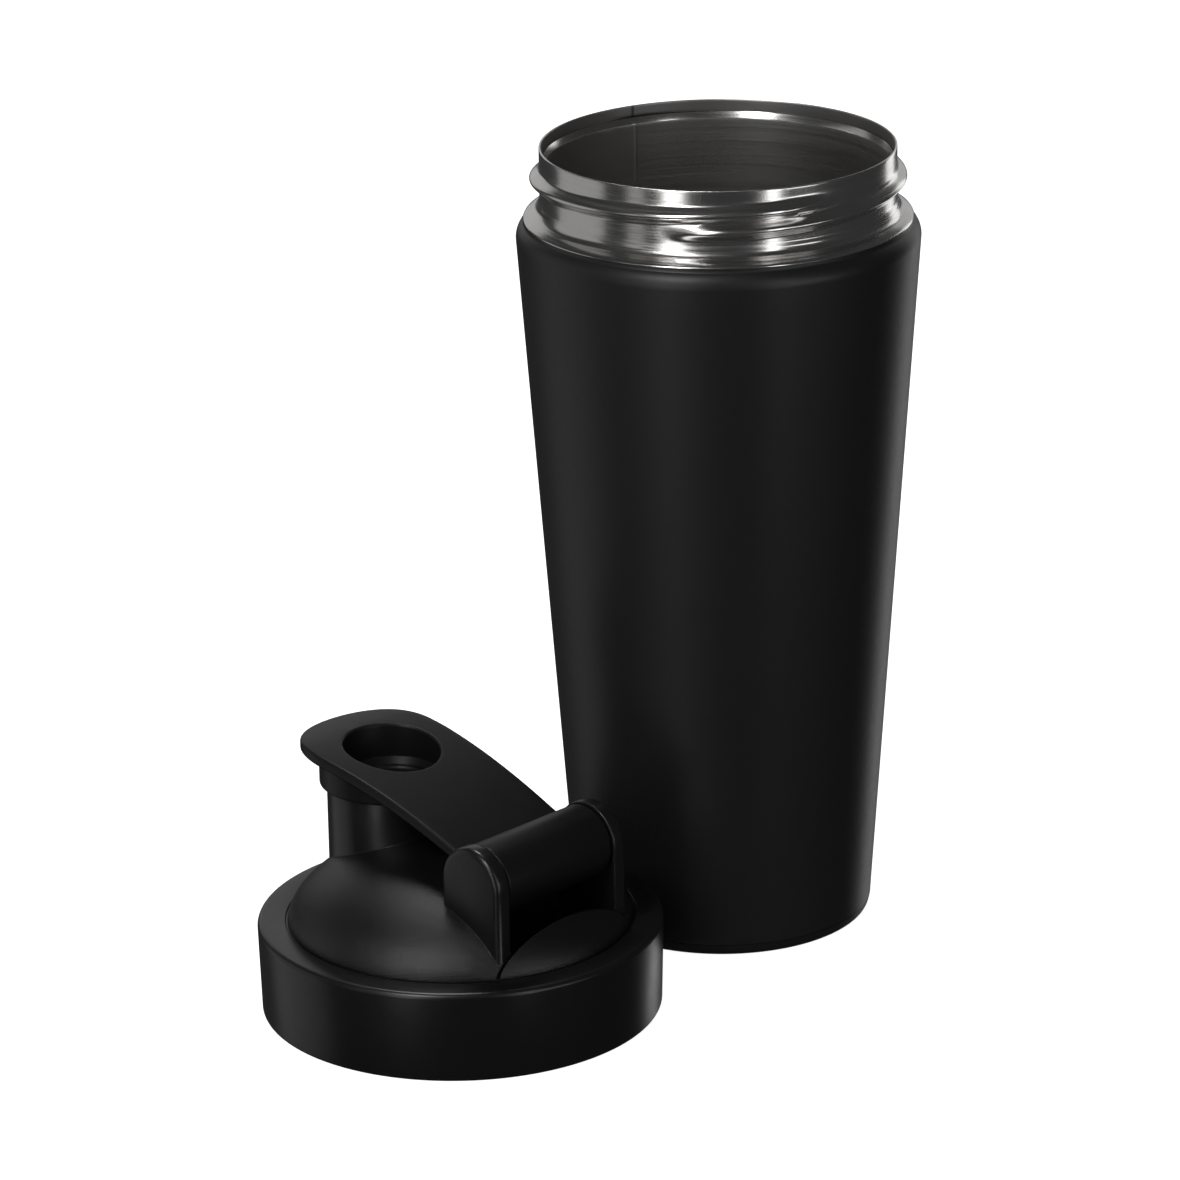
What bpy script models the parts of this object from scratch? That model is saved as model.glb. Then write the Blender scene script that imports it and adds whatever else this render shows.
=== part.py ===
"""A double-walled steel protein shaker, with its screw lid standing beside it.

Run with: blender --background --python part.py. Metres, +Z up. The origin is on the bottle's axis, in
the plane that the bottle and the lid stand on. The lid is modelled in its own frame, in which +X runs
from the lid's axis to the cap's hinge, and an empty then puts that frame in its place.
"""

import math

import bmesh
import bpy
from mathutils import Matrix, Vector

MM = 0.001
TAU = 2 * math.pi
CLEARANCE = 0.3 * MM  # between pieces that touch or are welded together

# Bottle
SHOULDER_R = 45.0 * MM
BASE_R = 33.75 * MM
SHOULDER_Z = 160.0 * MM
SHOULDER_ROUND = 4.4 * MM
FLANGE_Z = 164.4 * MM
FLANGE_R = 43.3 * MM
NECK_R = 39.6 * MM
NECK_FOOT_Z = 168.0 * MM
RIM_Z = 180.5 * MM
SHEET = 0.5 * MM
BASE_FILLET = 2.2 * MM
BASE_LIFT = 0.8 * MM  # how far the shell stops above the floor, on the pressed base
GROOVE_R = 24.0 * MM
GROOVE_HALF = 2.0 * MM
GROOVE_DEPTH = 0.8 * MM

# Rolled two-start thread, right-handed
THREAD_STARTS = 2
THREAD_LEAD = 7.6 * MM
THREAD_SPAN = math.radians(240)
THREAD_FIRST = math.radians(250)
THREAD_Z = 171.2 * MM
THREAD_HEIGHT = 2.2 * MM
THREAD_HALF = 2.3 * MM
THREAD_RUN_IN = math.radians(22)

# Inner liner
LINER_R = 38.8 * MM
LINER_SHEET = 0.8 * MM
LINER_TOP_Z = 177.8 * MM
LINER_CHAMFER = 1.3 * MM
LINER_STRAIGHT_Z = 118.0 * MM
LINER_FOOT_R = 30.6 * MM
LINER_FOOT_Z = 5.0 * MM

# Mixing ball
BALL_R = 25.0 * MM
WIRE_R = 1.15 * MM
BALL_TURNS = 8
BALL_POINTS = 16  # per turn

# Lid
LID_AT = Vector((-59.5, -54.1, 0)) * MM
LID_YAW = math.radians(-44)
RING_FOOT_R = 44.4 * MM
RING_R = 44.9 * MM
RING_Z = 20.5 * MM
RING_ROUND = 1.2 * MM
DOME_R = 38.2 * MM
DOME_RISE = 18.0 * MM
DOME_POWER = 1.25  # 1 would make the dome's outline an ellipse
LID_WALL = 2.2 * MM
FOOT_GROOVE = 0.5 * MM
SKIRT_R = 42.4 * MM
SEAT_Z = 17.6 * MM
LID_THREAD_HEIGHT = 1.2 * MM
LID_THREAD_Z = 3.4 * MM
GASKET_R_IN = 37.4 * MM
GASKET_R_OUT = 41.9 * MM
GASKET_THICK = 1.7 * MM

# Spout
SPOUT_AT = -20.5 * MM
SPOUT_R = 14.6 * MM
BORE_R = 12.4 * MM
SPOUT_TOP_Z = 48.2 * MM

# Hinge
HINGE_AT = 23.2 * MM
HINGE_Z = 39.4 * MM
BARREL_R = 8.2 * MM
BARREL_HALF = 15.9 * MM
EAR_GAP = 0.4 * MM
EAR_THICK = 3.8 * MM
EAR_R = 8.6 * MM
EAR_ROUND = 1.4 * MM
BOSS_R = 2.4 * MM
BOSS_LENGTH = 2.6 * MM
POCKET_U = (14.2 * MM, 32.3 * MM)

# Flip cap
STRAP_HALF = 17.0 * MM
STRAP_THICK = 2.6 * MM
STRAP_END_AT = -25.2 * MM
STRAP_TIP_Z = 55.4 * MM
STRAP_CROWN_AT = -33.0 * MM
STRAP_CROWN_Z = 56.2 * MM
STRAP_FALL = 11.3 * MM  # from the crown down to STRAP_FALL_AT
STRAP_FALL_AT = 13.0 * MM
STRAP_FALL_POWER = 5 / 3
COLLAR_R = 16.2 * MM
COLLAR_FOOT_Z = 46.9 * MM
RECESS_R = 10.8 * MM
PLUG_R = 11.95 * MM
PLUG_FOOT_R = 10.8 * MM
PLUG_FOOT_Z = 44.4 * MM
PLUG_WALL = 1.2 * MM

SEGMENTS = 56
SMALL_SEGMENTS = 40


def clear_scene():
    for old in list(bpy.data.objects):
        bpy.data.objects.remove(old)


def collection(name, hidden=False):
    made = bpy.data.collections.new(name)
    made.hide_render = hidden
    bpy.context.scene.collection.children.link(made)
    return made


def material(name, colour, roughness, metallic=0.0):
    made = bpy.data.materials.new(name)
    made.use_nodes = True
    shader = made.node_tree.nodes["Principled BSDF"]
    shader.inputs["Base Color"].default_value = (*colour, 1)
    shader.inputs["Roughness"].default_value = roughness
    shader.inputs["Metallic"].default_value = metallic
    made.diffuse_color = (*colour, 1)
    return made


def add_object(name, mesh, group, finish=None, smooth=True):
    made = bpy.data.objects.new(name, mesh)
    group.objects.link(made)
    if finish:
        mesh.materials.append(finish)
    if smooth:
        mesh.shade_smooth()
        mesh.set_sharp_from_angle(angle=math.radians(35))
    if group.hide_render:
        made.hide_render = True
        made.display_type = "WIRE"
    return made


def mesh_from(shape, name):
    """The bmesh as a mesh, with its faces turned outwards."""
    bmesh.ops.recalc_face_normals(shape, faces=shape.faces)
    mesh = bpy.data.meshes.new(name)
    shape.to_mesh(mesh)
    shape.free()
    return mesh


def turned(profile, segments=SEGMENTS, closed=True, shift=None):
    """A profile of (radius, z) spun about Z. shift(radius, z, angle) can move a point's radius.

    A closed profile bounds a solid ring; an open one with both ends on the axis bounds a solid.
    """
    shape = bmesh.new()
    points = [shape.verts.new((r, 0, z)) for r, z in profile]
    pairs = list(zip(points, points[1:] + points[:1] if closed else points[1:]))
    edges = [shape.edges.new(pair) for pair in pairs]
    bmesh.ops.spin(
        shape, geom=points + edges, cent=(0, 0, 0), axis=(0, 0, 1), dvec=(0, 0, 0),
        angle=TAU, steps=segments, use_merge=True, use_duplicate=False,
    )
    bmesh.ops.remove_doubles(shape, verts=shape.verts, dist=0.002 * MM)
    if shift:
        for point in shape.verts:
            r = math.hypot(point.co.x, point.co.y)
            angle = math.atan2(point.co.y, point.co.x)
            scale = shift(r, point.co.z, angle) / r if r > MM else 1
            point.co.x *= scale
            point.co.y *= scale
    return shape


def arc(centre, radius, start, end, steps):
    """Points on an arc in the profile's plane, from start to end in degrees."""
    angles = [math.radians(start + (end - start) * i / steps) for i in range(steps + 1)]
    return [(centre[0] + radius * math.cos(a), centre[1] + radius * math.sin(a)) for a in angles]


def smooth_step(x):
    x = min(max(x, 0), 1)
    return x * x * (3 - 2 * x)


def thread_bead(z, angle, first_z):
    """Height of the rolled beads at this place, from 0 to 1. Each start fades in and out at its ends."""
    height = 0.0
    for start in range(THREAD_STARTS):
        along = (angle - THREAD_FIRST - start * TAU / THREAD_STARTS) % TAU
        away = (z - first_z - THREAD_LEAD * along / TAU) / THREAD_HALF
        if along < THREAD_SPAN and abs(away) < 1:
            ends = smooth_step(along / THREAD_RUN_IN) * smooth_step((THREAD_SPAN - along) / THREAD_RUN_IN)
            height = max(height, ends * math.cos(away * math.pi / 2) ** 2)
    return height


def wall_r(z):
    """The shell's outer radius on its straight, conical wall."""
    return BASE_R + (SHOULDER_R - BASE_R) * z / SHOULDER_Z


def offset_inwards(profile, thickness):
    """The same outline moved towards the axis or down, square to itself."""
    moved = []
    for i, (r, z) in enumerate(profile):
        before = profile[max(i - 1, 0)]
        after = profile[min(i + 1, len(profile) - 1)]
        along = Vector((after[0] - before[0], after[1] - before[1])).normalized()
        moved.append((r - thickness * along.y, z + thickness * along.x))
    return moved


def shell_profile():
    """The shell's outer side from foot to rim: cone, rounded shoulder, flange, neck."""
    points = [(wall_r(z), z) for z in (BASE_LIFT + BASE_FILLET, 40 * MM, 80 * MM, 120 * MM)]
    points += arc((SHOULDER_R - SHOULDER_ROUND, SHOULDER_Z), SHOULDER_ROUND, -4, 50, 5)
    points += [(FLANGE_R - 0.1 * MM, FLANGE_Z), (FLANGE_R - 0.5 * MM, FLANGE_Z + 0.5 * MM)]
    hollow = (NECK_R + 0.3 * MM + 2.6 * MM, NECK_FOOT_Z)
    points += arc(hollow, 2.6 * MM, 262, 182, 5)[1:]
    step = 1.1 * MM
    rows = int((RIM_Z - NECK_FOOT_Z) / step)
    rise = (RIM_Z - NECK_FOOT_Z) / rows
    return points + [(NECK_R, NECK_FOOT_Z + rise * i) for i in range(1, rows + 1)]


def neck_shift(r, z, angle):
    inner = r < NECK_R - 0.4 * SHEET
    depth = z - (0.3 * MM if inner else 0)
    on_neck = z > NECK_FOOT_Z - 0.5 * MM
    return r + (THREAD_HEIGHT * thread_bead(depth, angle, THREAD_Z) if on_neck else 0)


def outer_shell(group, coat, steel):
    """One formed sheet: the coated body and the bare neck with its rolled thread."""
    outside = shell_profile()
    inside = offset_inwards(outside, SHEET)
    mesh = mesh_from(turned(outside + inside[::-1], shift=neck_shift), "outer_shell")
    made = add_object("outer_shell", mesh, group, coat)
    mesh.materials.append(steel)
    for face in mesh.polygons:
        face.material_index = int(face.center.z > FLANGE_Z + 0.1 * MM)
    return made


def outer_base(group, coat):
    """The pressed base cup, welded into the shell's foot. Its middle is flat on the floor."""
    foot = wall_r(0) - BASE_FILLET
    top = BASE_LIFT + BASE_FILLET - CLEARANCE
    side = wall_r(top)
    under = [(0, 0), (GROOVE_R - GROOVE_HALF, 0), (GROOVE_R - GROOVE_HALF / 2, GROOVE_DEPTH)]
    under += [(GROOVE_R + GROOVE_HALF / 2, GROOVE_DEPTH), (GROOVE_R + GROOVE_HALF, 0)]
    under += arc((foot, BASE_FILLET), BASE_FILLET, 270, 352, 5) + [(side, top)]
    sheet = 0.6 * MM
    over = [(side - 1.2 * MM, top), (foot - 0.4 * MM, BASE_LIFT + sheet)]
    over += [(GROOVE_R + GROOVE_HALF, sheet + GROOVE_DEPTH), (GROOVE_R - GROOVE_HALF, sheet + GROOVE_DEPTH)]
    over += [(GROOVE_R - 2 * GROOVE_HALF, sheet), (0, sheet)]
    return add_object("outer_base", mesh_from(turned(under + over, closed=False), "outer_base"), group, coat)


def liner_r(z):
    """The liner's outer radius: parallel to the shell, then straight up into the neck."""
    share = min(max((z - LINER_FOOT_Z) / (LINER_STRAIGHT_Z - LINER_FOOT_Z), 0), 1)
    return LINER_FOOT_R + (LINER_R - LINER_FOOT_R) * share


def liner_tube(group, steel):
    """The inner tube, rolled from sheet. Its chamfered top edge is the ledge inside the neck."""
    heights = [LINER_FOOT_Z, 40 * MM, 80 * MM, LINER_STRAIGHT_Z - 6 * MM, LINER_STRAIGHT_Z + 4 * MM]
    heights += [150 * MM, LINER_TOP_Z - 2 * MM]
    outside = [(liner_r(z), z) for z in heights]
    inside = [(r - LINER_SHEET, z) for r, z in outside]
    inside[-1] = (LINER_R - LINER_SHEET, LINER_TOP_Z - LINER_CHAMFER)
    outside.append((LINER_R, LINER_TOP_Z))
    return add_object("liner_tube", mesh_from(turned(outside + inside[::-1]), "liner_tube"), group, steel)


def liner_base(group, steel):
    """The liner's pressed floor, welded inside its foot, with a round corner for easy cleaning."""
    corner = 6.0 * MM
    thick = 0.7 * MM
    low = 2.6 * MM
    rim_r = liner_r(LINER_FOOT_Z) - LINER_SHEET - CLEARANCE
    top = low + corner + 1.5 * MM
    outer = [(0, low)] + arc((rim_r - corner, low + corner), corner, 270, 360, 6)
    outer += [(rim_r + 0.05 * MM, top)]
    inner = [(rim_r + 0.05 * MM - thick, top)]
    inner += arc((rim_r - corner, low + corner), corner - thick, 360, 270, 6) + [(0, low + thick)]
    return add_object("liner_base", mesh_from(turned(outer + inner, closed=False), "liner_base"), group, steel)


def wire_ball(group, steel):
    """The mixing ball: one steel wire wound pole to pole, lying on the liner's floor."""
    curve = bpy.data.curves.new("mixing_ball", "CURVE")
    curve.dimensions = "3D"
    curve.bevel_depth = WIRE_R
    curve.bevel_resolution = 2
    curve.use_fill_caps = True
    spline = curve.splines.new("POLY")
    count = BALL_TURNS * BALL_POINTS
    spline.points.add(count)
    radius = BALL_R - WIRE_R
    centre = 2.6 * MM + 0.7 * MM + CLEARANCE + BALL_R
    for i, point in enumerate(spline.points):
        share = i / count
        tilt = math.radians(14) + share * math.radians(152)
        turn = share * BALL_TURNS * TAU
        flat = radius * math.sin(tilt)
        point.co = (flat * math.cos(turn), flat * math.sin(turn), centre - radius * math.cos(tilt), 1)
    made = bpy.data.objects.new("mixing_ball", curve)
    group.objects.link(made)
    curve.materials.append(steel)
    return made


def lid_outside():
    """The lid's outer side from its foot to the top of the dome."""
    points = [(0, 0.0), (RING_FOOT_R - 0.4 * MM, 0), (RING_FOOT_R, 0.4 * MM)]
    points += arc((RING_R - RING_ROUND, RING_Z - RING_ROUND), RING_ROUND, 0, 90, 4)
    groove = DOME_R + FOOT_GROOVE
    points += [(groove, RING_Z), (groove, RING_Z - FOOT_GROOVE), (DOME_R, RING_Z - FOOT_GROOVE)]
    return points + dome_arc(DOME_R, DOME_RISE, RING_Z, 10)


def dome_arc(radius, rise, foot, steps):
    angles = [math.radians(90 * i / steps) for i in range(steps + 1)]
    points = [(radius * math.cos(a), foot + rise * math.sin(a) ** DOME_POWER) for a in angles[:-1]]
    return points + [(0, foot + rise)]


def skirt_shift(r, z, angle):
    on_skirt = r > SKIRT_R - 0.1 * MM and z > 0.5 * MM
    return r - (LID_THREAD_HEIGHT * thread_bead(z, angle, LID_THREAD_Z) if on_skirt else 0)


def lid_cavity(group):
    """The lid's hollow: threaded skirt, gasket seat, and the space under the dome."""
    rows = 13
    points = [(0, -1 * MM), (SKIRT_R + 0.3 * MM, -1 * MM)]
    points += [(SKIRT_R, 0.9 * MM + (SEAT_Z - 1.4 * MM) * i / rows) for i in range(rows + 1)]
    points += [(SKIRT_R, SEAT_Z), (DOME_R - LID_WALL, SEAT_Z)]
    points += dome_arc(DOME_R - LID_WALL, DOME_RISE - LID_WALL, RING_Z, 8)
    shape = turned(points, closed=False, shift=skirt_shift)
    made = add_object("cut_lid_cavity", mesh_from(shape, "cut_lid_cavity"), group, smooth=False)
    low = Vector((POCKET_U[0] - LID_WALL, -(BARREL_HALF + EAR_THICK + LID_WALL), RING_Z - LID_WALL))
    keep = box("cut_pocket_walls", group, low, Vector((DOME_R + MM, -low.y, RING_Z + DOME_RISE)))
    boolean(made, keep, "DIFFERENCE")
    return made


def box(name, group, low, high):
    shape = bmesh.new()
    bmesh.ops.create_cube(shape, size=1)
    size = high - low
    matrix = Matrix.Translation((low + high) / 2) @ Matrix.Diagonal((*size, 1))
    bmesh.ops.transform(shape, matrix=matrix, verts=shape.verts)
    return add_object(name, mesh_from(shape, name), group, smooth=False)


def cylinder(name, group, radius, low, high, axis="Z", segments=SMALL_SEGMENTS):
    """A cylinder between two points given as its end centres, along Z or across the hinge."""
    shape = bmesh.new()
    length = (high - low).length
    bmesh.ops.create_cone(shape, cap_ends=True, segments=segments, radius1=radius, radius2=radius, depth=length)
    spin = Matrix.Rotation(math.radians(90), 4, "X") if axis == "Y" else Matrix.Identity(4)
    bmesh.ops.transform(shape, matrix=Matrix.Translation((low + high) / 2) @ spin, verts=shape.verts)
    return add_object(name, mesh_from(shape, name), group, smooth=False)


def boolean(target, other, operation):
    made = target.modifiers.new(f"{operation.lower()} {other.name}", "BOOLEAN")
    made.operation = operation
    made.solver = "EXACT"
    made.object = other


def ear_outline():
    """The ear's side view about the hinge axis: a half circle on straight sides."""
    foot = RING_Z - HINGE_Z - 0.2 * MM
    return [(EAR_R, foot)] + arc((0, 0), EAR_R, 0, 180, 16) + [(-EAR_R, foot)]


def ear(name, group, side):
    """One hinge ear, rounded along its outer face, with the boss that the cap's barrel turns on."""
    shape = bmesh.new()
    inner = side * (BARREL_HALF + EAR_GAP)
    outer = side * (BARREL_HALF + EAR_GAP + EAR_THICK)
    points = [shape.verts.new((HINGE_AT + u, inner, HINGE_Z + z)) for u, z in ear_outline()]
    face = shape.faces.new(points)
    swept = bmesh.ops.extrude_face_region(shape, geom=[face])["geom"]
    moved = [item for item in swept if isinstance(item, bmesh.types.BMVert)]
    bmesh.ops.translate(shape, vec=(0, outer - inner, 0), verts=moved)
    top = [
        edge for edge in shape.edges
        if all(abs(v.co.y - outer) < 0.01 * MM for v in edge.verts)
        and any(v.co.z > RING_Z + 0.1 * MM for v in edge.verts)
    ]
    bmesh.ops.bevel(shape, geom=top, offset=EAR_ROUND, segments=3, profile=0.5, affect="EDGES")
    made = add_object(name, mesh_from(shape, name), group, smooth=False)
    tip = Vector((HINGE_AT, inner - side * BOSS_LENGTH, HINGE_Z))
    root = Vector((HINGE_AT, inner + side * MM, HINGE_Z))
    boolean(made, cylinder(f"{name}_boss", group, BOSS_R, tip, root, "Y", 20), "UNION")
    return made


def lid_body(group, cutters, plastic):
    """The moulded lid: ring, dome, spout and hinge ears in one piece."""
    mesh = mesh_from(turned(lid_outside(), closed=False), "lid_body")
    made = add_object("lid_body", mesh, group, plastic)
    across = Vector((0, DOME_R, 0))
    low = Vector((POCKET_U[0], 0, RING_Z)) - across
    high = Vector((POCKET_U[1], 0, RING_Z + DOME_RISE + MM)) + across
    wide = box("cut_pocket_front", cutters, Vector((HINGE_AT + EAR_R, low.y, low.z)), high)
    half = BARREL_HALF + EAR_GAP
    deep = box("cut_pocket", cutters, Vector((low.x, -half, low.z)), Vector((high.x, half, high.z)))
    boolean(made, deep, "DIFFERENCE")
    boolean(made, wide, "DIFFERENCE")
    for side, name in ((-1, "add_ear_right"), (1, "add_ear_left")):
        boolean(made, ear(name, cutters, side), "UNION")
    foot = Vector((SPOUT_AT, 0, RING_Z + 3 * MM))
    top = Vector((SPOUT_AT, 0, SPOUT_TOP_Z))
    boolean(made, cylinder("add_spout", cutters, SPOUT_R, foot, top), "UNION")
    boolean(made, lid_cavity(cutters), "DIFFERENCE")
    bore = cylinder("cut_bore", cutters, BORE_R, foot - Vector((0, 0, MM)), top + Vector((0, 0, MM)))
    boolean(made, bore, "DIFFERENCE")
    return made


def lid_gasket(group, silicone):
    """The silicone ring under the lid's seat, which the bottle's rim presses on."""
    top = SEAT_Z - CLEARANCE
    low = top - GASKET_THICK
    bead = 0.4 * MM
    points = [(GASKET_R_IN, low + bead), (GASKET_R_IN + bead, low), (GASKET_R_OUT - bead, low)]
    points += [(GASKET_R_OUT, low + bead), (GASKET_R_OUT, top), (GASKET_R_IN, top)]
    return add_object("lid_gasket", mesh_from(turned(points), "lid_gasket"), group, silicone)


def strap_top(u):
    """Height of the strap's top along the lid: nearly level over the spout, falling to the hinge."""
    past = max(u - STRAP_CROWN_AT, 0) / (STRAP_FALL_AT - STRAP_CROWN_AT)
    before = max(STRAP_CROWN_AT - u, 0) / (STRAP_CROWN_AT - STRAP_END_AT + STRAP_HALF)
    droop = (STRAP_CROWN_Z - STRAP_TIP_Z) * before**2
    return STRAP_CROWN_Z - STRAP_FALL * past**STRAP_FALL_POWER - droop


def strap_half(u):
    """Half the strap's width: a half circle at the spout, then a slight taper to the barrel's length."""
    inside = max(STRAP_END_AT - u, 0)
    share = min(max((u - SPOUT_AT) / (STRAP_FALL_AT - SPOUT_AT), 0), 1)
    taper = (STRAP_HALF - BARREL_HALF) * share
    return math.sqrt(max(STRAP_HALF**2 - inside**2, (0.5 * MM) ** 2)) - taper


def strap(name, group):
    """The cap's arched strip: round at the spout, straight-sided to the barrel."""
    shape = bmesh.new()
    ends = [STRAP_END_AT - STRAP_HALF * math.cos(math.radians(90 * i / 8)) for i in range(8)]
    last = HINGE_AT - BARREL_R + 3 * MM
    runs = [STRAP_END_AT + (last - STRAP_END_AT) * i / 16 for i in range(17)]
    across = 8
    rows = []
    for u in ends + runs:
        offsets = [strap_half(u) * (2 * j / across - 1) for j in range(across + 1)]
        rows.append([shape.verts.new((u, y, strap_top(u))) for y in offsets])
    for row, following in zip(rows, rows[1:]):
        for j in range(across):
            shape.faces.new((row[j], row[j + 1], following[j + 1], following[j]))
    made = add_object(name, mesh_from(shape, name), group, smooth=False)
    thick = made.modifiers.new("thickness", "SOLIDIFY")
    thick.thickness = STRAP_THICK
    thick.offset = -1 if made.data.polygons[0].normal.z > 0 else 1
    return made


def under_strap(shape, top):
    """Moves a turned shape over to the spout, and its top edge up or down into the strap's thickness."""
    bmesh.ops.translate(shape, vec=(SPOUT_AT, 0, 0), verts=shape.verts)
    for point in shape.verts:
        if point.co.z > top - 0.01 * MM:
            point.co.z = strap_top(point.co.x) - 0.5 * STRAP_THICK


def cap_collar(name, group):
    """The skirt that closes over the spout's rim."""
    inner = SPOUT_R + 0.5 * MM
    top = strap_top(SPOUT_AT) - 0.5 * STRAP_THICK
    points = [(inner, COLLAR_FOOT_Z), (COLLAR_R - 0.5 * MM, COLLAR_FOOT_Z), (COLLAR_R, COLLAR_FOOT_Z + 0.5 * MM)]
    points += [(COLLAR_R, top), (inner, top)]
    shape = turned(points, SMALL_SEGMENTS)
    under_strap(shape, top)
    return add_object(name, mesh_from(shape, name), group, smooth=False)


def cap_plug(name, group):
    """The tapered plug that fills the spout's bore, solid until the recess is cut."""
    top = strap_top(SPOUT_AT) - 0.5 * STRAP_THICK
    points = [(0, PLUG_FOOT_Z), (PLUG_FOOT_R - MM, PLUG_FOOT_Z), (PLUG_FOOT_R, PLUG_FOOT_Z + MM)]
    points += [(PLUG_R, SPOUT_TOP_Z - 0.5 * MM), (PLUG_R, top), (0, top)]
    shape = turned(points, SMALL_SEGMENTS, closed=False)
    under_strap(shape, top)
    return add_object(name, mesh_from(shape, name), group, smooth=False)


def cap_recess(name, group):
    """The hollow in the top of the cap, inside the plug."""
    floor = PLUG_FOOT_Z + PLUG_WALL
    top = STRAP_CROWN_Z + 2 * MM
    points = [(0, floor), (PLUG_FOOT_R - PLUG_WALL - MM, floor), (PLUG_FOOT_R - PLUG_WALL, floor + MM)]
    points += [(RECESS_R, SPOUT_TOP_Z), (RECESS_R, top), (0, top)]
    shape = turned(points, SMALL_SEGMENTS, closed=False)
    bmesh.ops.translate(shape, vec=(SPOUT_AT, 0, 0), verts=shape.verts)
    return add_object(name, mesh_from(shape, name), group, smooth=False)


def flip_cap(group, cutters, plastic):
    """The cap: barrel first, with the strap, collar and plug joined to it."""
    end = Vector((0, BARREL_HALF, 0))
    axis = Vector((HINGE_AT, 0, HINGE_Z))
    made = cylinder("flip_cap", group, BARREL_R, axis - end, axis + end, "Y", 32)
    made.data.materials.append(plastic)
    boolean(made, strap("add_strap", cutters), "UNION")
    boolean(made, cap_collar("add_collar", cutters), "UNION")
    boolean(made, cap_plug("add_plug", cutters), "UNION")
    boolean(made, cap_recess("cut_recess", cutters), "DIFFERENCE")
    depth = Vector((0, BOSS_LENGTH + 0.6 * MM, 0))
    for side in (-1, 1):
        socket = cylinder(
            f"cut_socket_{side + 1}", cutters, BOSS_R + CLEARANCE, axis + side * (end - depth),
            axis + side * (end + Vector((0, MM, 0))), "Y", 20,
        )
        boolean(made, socket, "DIFFERENCE")
    return made


def put_origin(obj, place):
    """Moves an object's origin to a place in its own frame, leaving its shape where it is."""
    obj.data.transform(Matrix.Translation(-place))
    obj.location = place


def place_lid(pieces, group):
    """Stands the lid's pieces, built about their own axis, beside the bottle."""
    stand = bpy.data.objects.new("lid_frame", None)
    group.objects.link(stand)
    stand.location = LID_AT
    stand.rotation_euler = (0, 0, LID_YAW)
    for piece in pieces:
        piece.parent = stand


def main():
    clear_scene()
    parts = collection("protein_shaker")
    cutters = collection("cutters", hidden=True)
    coat = material("black_powder_coat", (0.012, 0.012, 0.013), 0.42)
    steel = material("brushed_steel", (0.62, 0.61, 0.6), 0.28, 1.0)
    plastic = material("black_plastic", (0.016, 0.016, 0.017), 0.36)
    silicone = material("grey_silicone", (0.3, 0.3, 0.31), 0.55)
    outer_shell(parts, coat, steel)
    outer_base(parts, coat)
    liner_tube(parts, steel)
    liner_base(parts, steel)
    wire_ball(parts, steel)
    lid = lid_body(parts, cutters, plastic)
    cap = flip_cap(parts, cutters, plastic)
    hinge = Vector((HINGE_AT, 0, HINGE_Z))
    put_origin(cap, hinge)
    place_lid([lid, cap, lid_gasket(parts, silicone)] + list(cutters.objects), parts)


main()
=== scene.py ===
"""Looks of a double-walled steel protein shaker with its lid standing beside it.

Every CAD solid is rebuilt here at a finer resolution, with its edges rounded, and rides on the CAD body
that it stands for. Lengths are in metres. The lid's pieces are made in the lid's own frame, in which +X
runs from the lid's axis to the cap's hinge, and then put in place.
"""

import math

import bmesh
import bpy
from mathutils import Matrix, Vector


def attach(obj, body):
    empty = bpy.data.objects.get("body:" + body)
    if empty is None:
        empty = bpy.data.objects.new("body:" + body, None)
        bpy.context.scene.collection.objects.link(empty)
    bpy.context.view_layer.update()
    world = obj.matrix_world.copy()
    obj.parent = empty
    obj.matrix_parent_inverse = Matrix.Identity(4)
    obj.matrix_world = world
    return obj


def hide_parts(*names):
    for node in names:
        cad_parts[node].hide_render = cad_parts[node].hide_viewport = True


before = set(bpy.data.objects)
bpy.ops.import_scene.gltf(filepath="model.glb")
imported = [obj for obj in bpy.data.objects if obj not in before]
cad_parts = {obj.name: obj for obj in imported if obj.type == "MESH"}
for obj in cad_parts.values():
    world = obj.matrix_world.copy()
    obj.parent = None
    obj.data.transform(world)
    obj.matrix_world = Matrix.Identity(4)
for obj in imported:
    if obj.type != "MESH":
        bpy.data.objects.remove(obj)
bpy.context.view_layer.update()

MM = 0.001
TAU = 2 * math.pi
CLEARANCE = 0.3 * MM  # between pieces that touch or are welded together

# Bottle
SHOULDER_R, BASE_R, SHOULDER_Z = 45.0 * MM, 33.75 * MM, 160.0 * MM
SHOULDER_ROUND = 4.4 * MM
FLANGE_Z, FLANGE_R = 164.4 * MM, 43.3 * MM
NECK_R, NECK_FOOT_Z, NECK_HOLLOW, RIM_Z = 39.6 * MM, 168.0 * MM, 2.6 * MM, 180.5 * MM
SHEET = 0.5 * MM
BASE_FILLET, BASE_LIFT, BASE_SHEET = 2.2 * MM, 0.8 * MM, 0.6 * MM
GROOVE_R, GROOVE_HALF, GROOVE_DEPTH = 24.0 * MM, 2.0 * MM, 0.8 * MM
THREAD_STARTS, THREAD_LEAD = 2, 7.6 * MM
THREAD_SPAN, THREAD_FIRST = math.radians(240), math.radians(250)
THREAD_Z, THREAD_HEIGHT, THREAD_HALF = 171.2 * MM, 2.2 * MM, 2.3 * MM
THREAD_RUN_IN = math.radians(22)
LINER_R, LINER_SHEET, LINER_TOP_Z = 38.8 * MM, 0.8 * MM, 177.8 * MM
LINER_CHAMFER, LINER_STRAIGHT_Z = 1.3 * MM, 118.0 * MM
LINER_FOOT_R, LINER_FOOT_Z = 30.6 * MM, 5.0 * MM
FLOOR_Z, FLOOR_SHEET, FLOOR_CORNER = 2.6 * MM, 0.7 * MM, 6.0 * MM
SEAM_AT, SEAM_HALF, SEAM_HEIGHT = math.radians(118), 0.5 * MM, 0.12 * MM
BALL_R, WIRE_R, BALL_TURNS = 25.0 * MM, 1.15 * MM, 8
BALL_POLE = 14  # degrees from the ball's axis at which its wire starts and ends

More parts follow.
